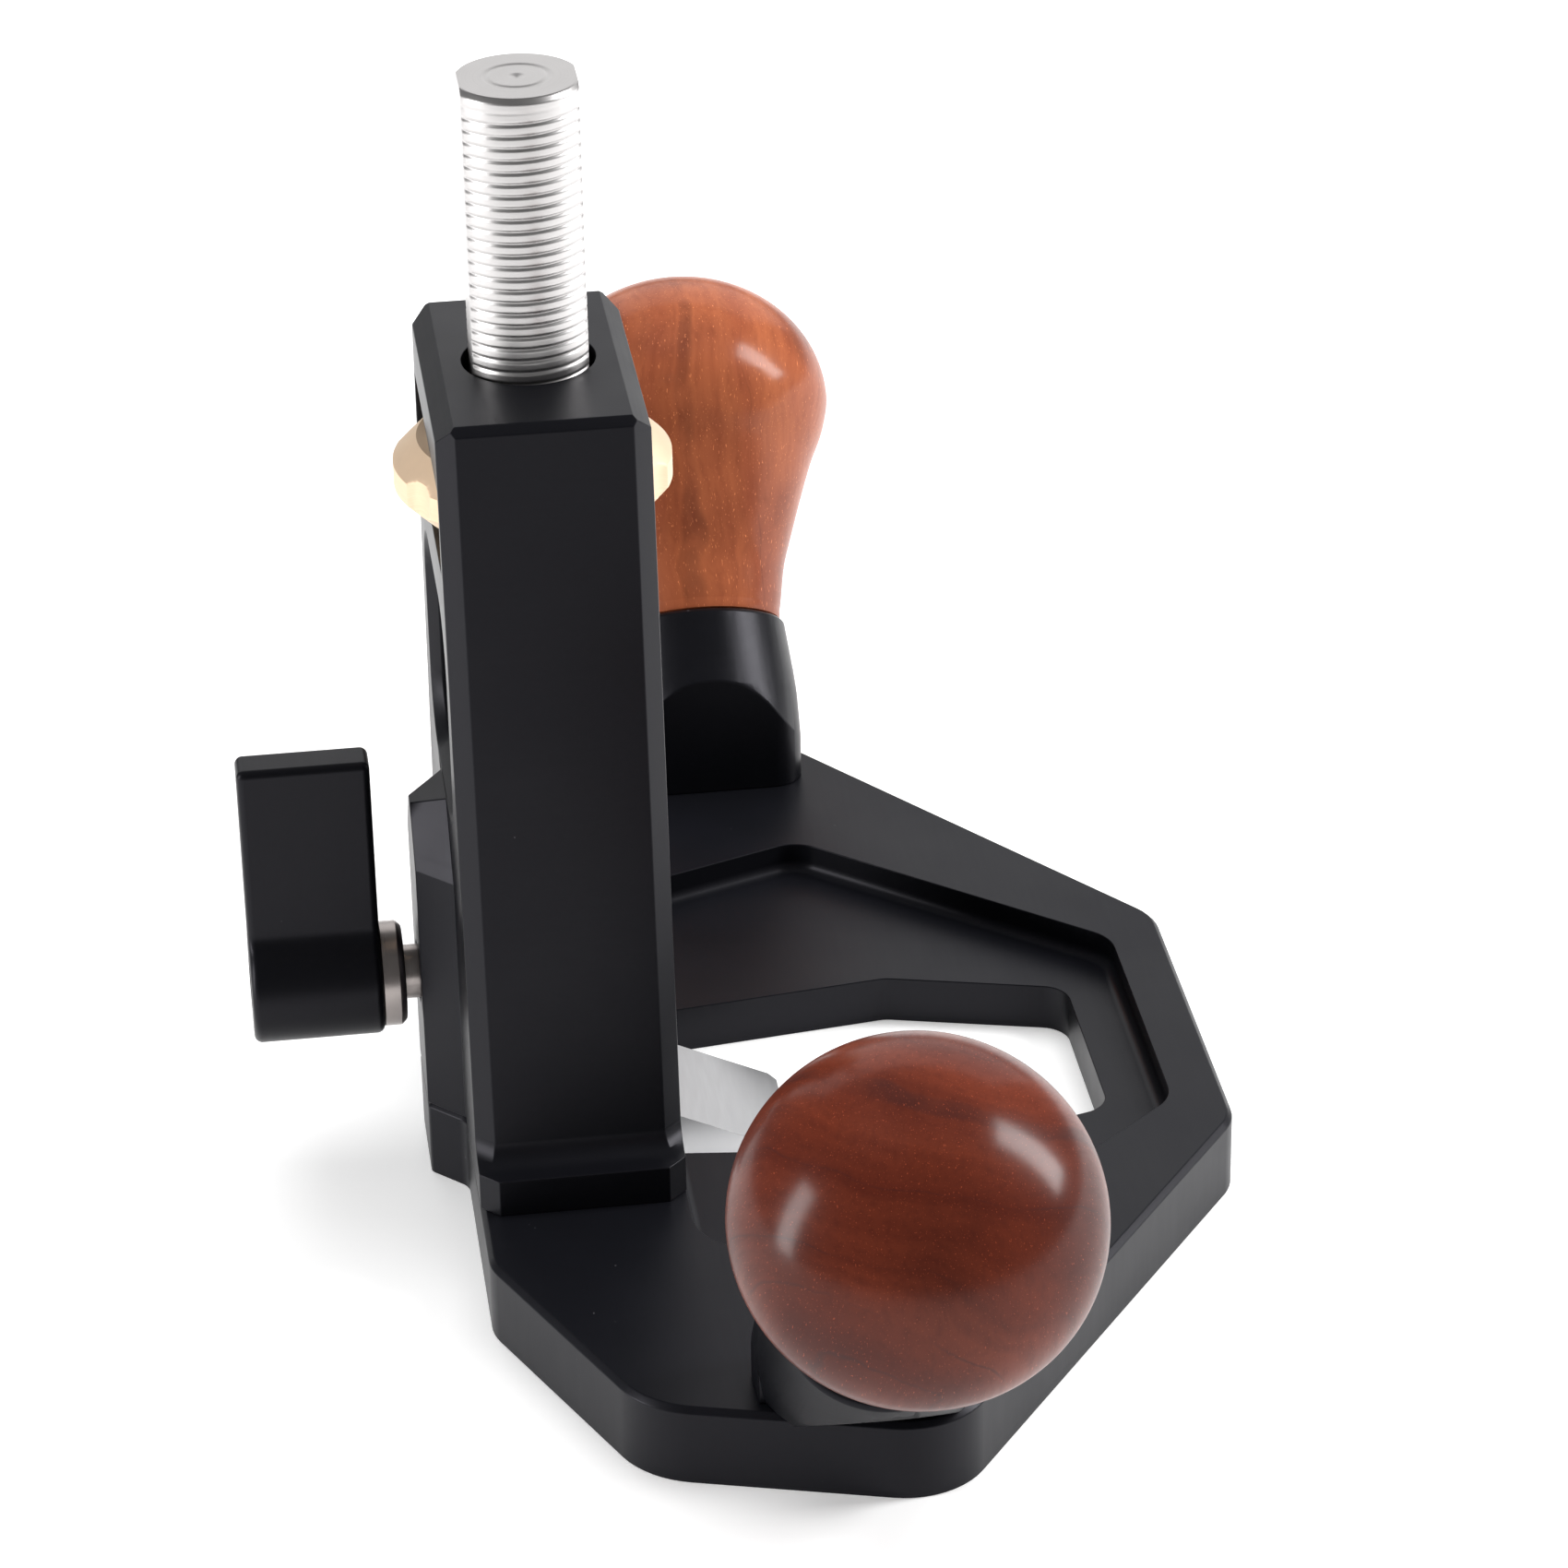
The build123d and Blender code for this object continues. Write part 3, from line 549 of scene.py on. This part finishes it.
def make_pieces(finish):
    """Every visible piece of the tool, on the body that carries it."""
    body = "plane_body"
    show("base", soft_edged("base_plate", 0.14), finish["base"], body, "black_anodised_base", "base_plate")
    show("tower", soft_edged("tower_frame", 0.14), finish["tower"], body, "black_anodised_tower", "tower_frame")
    for side, word in ((1, "right"), (-1, "left")):
        boss = word + "_handle_boss"
        show(word + "_boss", soft_edged(boss, 0.2), finish["boss"], body, "black_anodised_boss", boss)
        wood = finish["wood_" + word]
        show(word + "_wood", knob_mesh(side), wood, body, "polished_wood_" + word, word + "_knob")
    post = {
        "Radius": 8.0 * MM, "Flat": 7.0 * MM, "Depth": 0.20 * MM, "Pitch": 1.5 * MM, "Low": 9.2 * MM,
        "High": 146.3 * MM, "Thread Low": 48.0 * MM, "Thread High": 144.9 * MM, "Edge": 0.6 * MM,
    }
    show("post", run_rule(post_rule(finish["post"]), post, 60.0), finish["post"], "post", "stainless_post", "threaded_post")
    wheel = {
        "Radius": 17.0 * MM, "Bore": 8.06 * MM, "Bevel": 3.0 * MM, "Low": 91.6 * MM, "High": 100.6 * MM,
        "Lobes": 6.0, "Hollow": 4.8 * MM, "Hollow Depth": 0.8 * MM,
    }
    show("wheel", run_rule(wheel_rule(finish["wheel"]), wheel, 24.0), finish["wheel"], "depth_wheel", "brass_wheel", "depth_nut")
    show("blade", soft_edged("cutter", 0.06), finish["blade"], "post", "ground_blade", "cutter")
    show("lever", soft_edged("lock_lever", 0.1), finish["lever"], "lock", "black_anodised_lever", "lock_lever")
    show("collar", soft_edged("lock_collar", 0.15), finish["lock"], "lock", "stainless_lock", "lock_collar")


PLAIN_NODES = {
    "tower_screws": "fixing",
    "tower_dowels": "fixing",
    "boss_screws": "fixing",
    "cutter_screw": "fixing",
    "cutter_keys": "fixing",
    "lever_screw": "fixing",
    "right_knob_stud": "fixing",
    "left_knob_stud": "fixing",
    "right_knob_insert": "brass",
    "left_knob_insert": "brass",
    "lock_tip": "brass",
    "lower_thrust_washer": "washer",
    "upper_thrust_washer": "washer",
    "lock_screw": "lock",
}


def finish_plain_nodes(finish):
    """CAD pieces whose shape is right get their finish and stay."""
    for node, name in PLAIN_NODES.items():
        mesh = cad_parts[node].data
        mesh.materials.clear()
        mesh.materials.append(finish[name])


# Stage

def make_floor():
    """Plain pale floor under the tool."""
    shape = bmesh.new()
    bmesh.ops.create_grid(shape, x_segments=8, y_segments=8, size=6.0)
    mesh = bpy.data.meshes.new("floor")
    shape.to_mesh(mesh)
    shape.free()
    material, tree, shader, coords = new_material("pale_floor", Roughness=0.75, IOR=1.3, Emission_Strength=0.30)
    shader.inputs["Emission Color"].default_value = colour(1.0, 1.0, 1.0)
    tint = mix_colour(tree, grain(tree, coords, 3.0), colour(0.90, 0.90, 0.90), colour(0.93, 0.93, 0.93))
    join(tree, shader.inputs["Base Color"], tint)
    mesh.materials.append(material)
    floor = bpy.data.objects.new("floor", mesh)
    bpy.context.scene.collection.objects.link(floor)


def soft_light(name, centre, target, width, height, power, mirrored=True):
    """Rectangular soft light that faces its target; mirrored ones show in shiny surfaces."""
    data = bpy.data.lights.new(name, "AREA")
    data.shape = "RECTANGLE"
    data.size = width
    data.size_y = height
    data.energy = power
    light = bpy.data.objects.new(name, data)
    bpy.context.scene.collection.objects.link(light)
    light.location = centre
    light.rotation_euler = (Vector(target) - Vector(centre)).to_track_quat("-Z", "Y").to_euler()
    light.visible_glossy = mirrored
    light.visible_camera = False


def make_lights():
    middle = (0.0, 0.0, 0.06)
    soft_light("left_softbox", (0.16, -0.957, 0.31), middle, 0.22, 0.62, 5.6)
    soft_light("right_softbox", (0.00, 0.88, 0.58), middle, 0.26, 0.70, 10.5)
    soft_light("top_softbox", (-0.30, 0.05, 1.15), middle, 1.2, 1.2, 14.0, mirrored=False)
    soft_light("back_softbox", (-1.15, 0.14, 0.62), middle, 1.7, 0.9, 5.0)
    world = bpy.data.worlds.new("studio")
    world.use_nodes = True
    world.node_tree.nodes["Background"].inputs["Color"].default_value = colour(1.0, 1.0, 1.0)
    world.node_tree.nodes["Background"].inputs["Strength"].default_value = 0.16
    bpy.context.scene.world = world
    bpy.context.scene.view_settings.view_transform = "Standard"


def make_camera():
    """Camera at the photograph's viewing angle."""
    data = bpy.data.cameras.new("camera")
    data.sensor_width = 36.0
    data.lens = 123.79
    data.clip_start = 0.05
    data.clip_end = 30.0
    camera = bpy.data.objects.new("camera", data)
    bpy.context.scene.collection.objects.link(camera)
    right = Vector((0.135938, 0.990591, -0.015811))
    up = Vector((-0.470536, 0.078599, 0.878873))
    back = Vector((0.87185, -0.11203, 0.47679))
    turn = Matrix((right, up, back)).transposed()
    camera.matrix_world = Matrix.Translation(place(594.742, -46.308, 374.333)) @ turn.to_4x4()
    bpy.context.scene.camera = camera


finishes = make_finishes()
make_pieces(finishes)
finish_plain_nodes(finishes)
make_floor()
make_lights()
make_camera()
